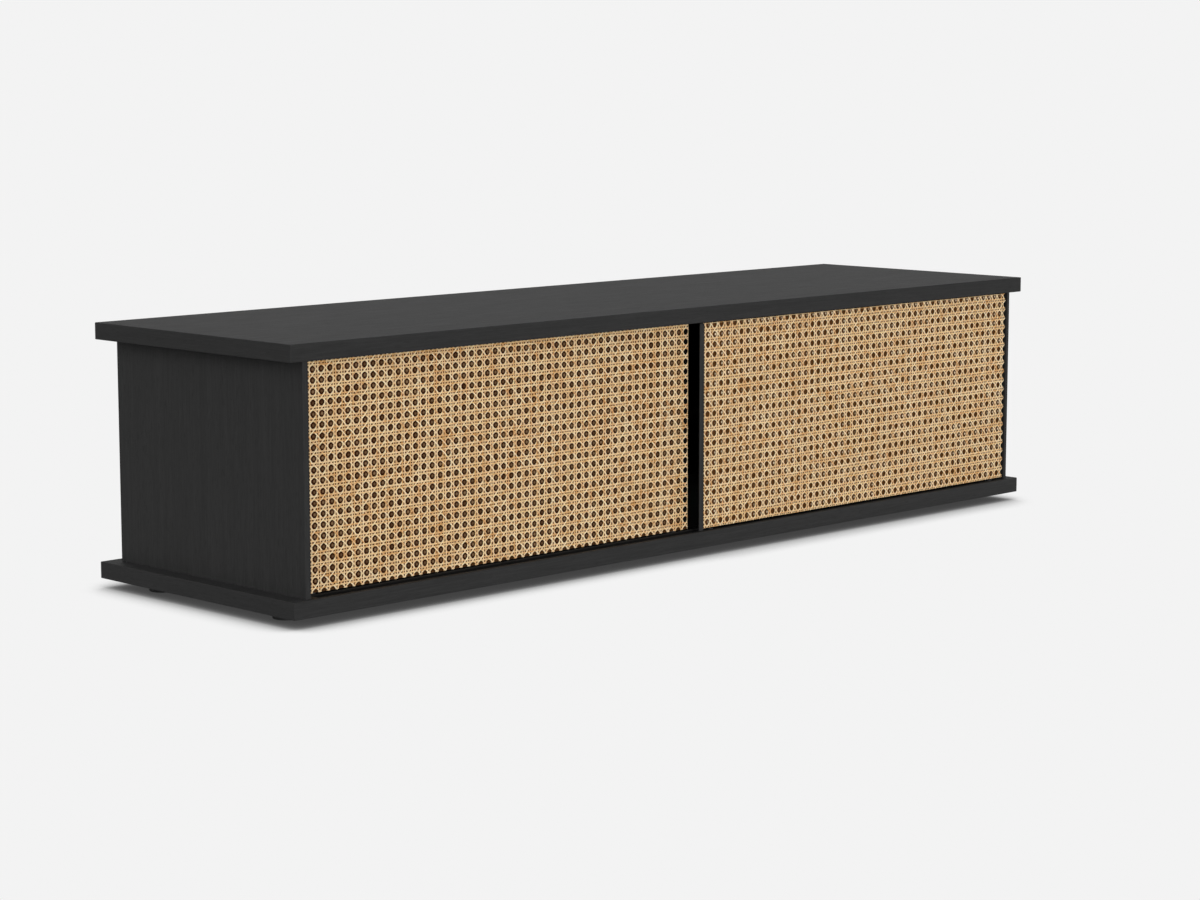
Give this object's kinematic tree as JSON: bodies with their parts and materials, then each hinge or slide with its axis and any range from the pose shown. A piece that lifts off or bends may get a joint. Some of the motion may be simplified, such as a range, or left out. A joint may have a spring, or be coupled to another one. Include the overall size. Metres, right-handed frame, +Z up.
{
  "type": "low media unit",
  "caption": "Low black oak media unit: thick overhanging top and base slabs, set-in sides, and woven cane doors that slide past each other on hidden rollers.",
  "frame": {"origin": "on the floor, under the middle of the unit", "axes": "+X along the width to the right as seen from the front, +Y to the back, +Z up"},
  "size_m": [1.829, 0.508, 0.441],
  "materials": {
    "black_oak": "black stained oak, satin",
    "woven_cane": "natural rattan cane, satin",
    "brown_board": "plain brown board, matt",
    "black_plastic": "matt",
    "black_aluminium": "black anodised",
    "grey_nylon": "satin",
    "bright_steel": "zinc plated"
  },
  "bodies": {
    "carcass": {"top_slab": "black_oak", "base_slab": "black_oak", "left_side_panel": "black_oak", "right_side_panel": "black_oak", "centre_divider": "black_oak", "left_back_panel": "black_oak", "right_back_panel": "black_oak", "left_cable_grommet": "black_plastic", "right_cable_grommet": "black_plastic", "left_shelf": "black_oak", "right_shelf": "black_oak", "left_shelf_pin_outer_front": "bright_steel", "left_shelf_pin_outer_rear": "bright_steel", "left_shelf_pin_inner_front": "bright_steel", "left_shelf_pin_inner_rear": "bright_steel", "right_shelf_pin_outer_front": "bright_steel", "right_shelf_pin_outer_rear": "bright_steel", "right_shelf_pin_inner_front": "bright_steel", "right_shelf_pin_inner_rear": "bright_steel", "left_front_foot": "black_plastic", "left_rear_foot": "black_plastic", "right_front_foot": "black_plastic", "right_rear_foot": "black_plastic", "centre_foot": "black_plastic", "head_track": "black_aluminium", "front_guide_channel": "black_aluminium", "rear_guide_channel": "black_aluminium"},
    "left_door": {"left_door_bottom_rail": "black_oak", "left_door_top_rail": "black_oak", "left_door_outer_stile": "black_oak", "left_door_meeting_stile": "black_oak", "left_door_cane": "woven_cane", "left_door_backing_board": "brown_board", "left_door_left_carriage": "bright_steel", "left_door_right_carriage": "bright_steel", "left_door_left_axle": "bright_steel", "left_door_right_axle": "bright_steel", "left_door_left_guide_pin": "black_plastic", "left_door_right_guide_pin": "black_plastic"},
    "left_door_left_wheels": {"left_door_left_front_wheel": "grey_nylon", "left_door_left_rear_wheel": "grey_nylon"},
    "left_door_right_wheels": {"left_door_right_front_wheel": "grey_nylon", "left_door_right_rear_wheel": "grey_nylon"},
    "right_door": {"right_door_bottom_rail": "black_oak", "right_door_top_rail": "black_oak", "right_door_pull_stile": "black_oak", "right_door_outer_stile": "black_oak", "right_door_cane": "woven_cane", "right_door_backing_board": "brown_board", "right_door_left_carriage": "bright_steel", "right_door_right_carriage": "bright_steel", "right_door_left_axle": "bright_steel", "right_door_right_axle": "bright_steel", "right_door_left_guide_pin": "black_plastic", "right_door_right_guide_pin": "black_plastic"},
    "right_door_left_wheels": {"right_door_left_front_wheel": "grey_nylon", "right_door_left_rear_wheel": "grey_nylon"},
    "right_door_right_wheels": {"right_door_right_front_wheel": "grey_nylon", "right_door_right_rear_wheel": "grey_nylon"}
  },
  "joints": [
    {"name": "left_door_slide", "type": "slide", "parent": "carcass", "child": "left_door", "axis": [1, 0, 0], "range_m": [0, 0.86]},
    {"name": "right_door_slide", "type": "slide", "parent": "carcass", "child": "right_door", "axis": [-1, 0, 0], "range_m": [0, 0.86]},
    {"name": "left_door_left_roll", "type": "hinge", "parent": "left_door", "child": "left_door_left_wheels", "pos_m": [-0.8145, -0.2097, 0.4203], "axis": [0, 1, 0], "continuous": true},
    {"name": "left_door_right_roll", "type": "hinge", "parent": "left_door", "child": "left_door_right_wheels", "pos_m": [-0.0604, -0.2097, 0.4203], "axis": [0, 1, 0], "continuous": true},
    {"name": "right_door_left_roll", "type": "hinge", "parent": "right_door", "child": "right_door_left_wheels", "pos_m": [0.0702, -0.2337, 0.4203], "axis": [0, -1, 0], "continuous": true},
    {"name": "right_door_right_roll", "type": "hinge", "parent": "right_door", "child": "right_door_right_wheels", "pos_m": [0.8178, -0.2337, 0.4203], "axis": [0, -1, 0], "continuous": true}
  ],
  "couplings": [
    {"joint": "left_door_left_roll", "follows": "left_door_slide", "rad_per_m": 200},
    {"joint": "left_door_right_roll", "follows": "left_door_slide", "rad_per_m": 200},
    {"joint": "right_door_left_roll", "follows": "right_door_slide", "rad_per_m": 200},
    {"joint": "right_door_right_roll", "follows": "right_door_slide", "rad_per_m": 200}
  ]
}
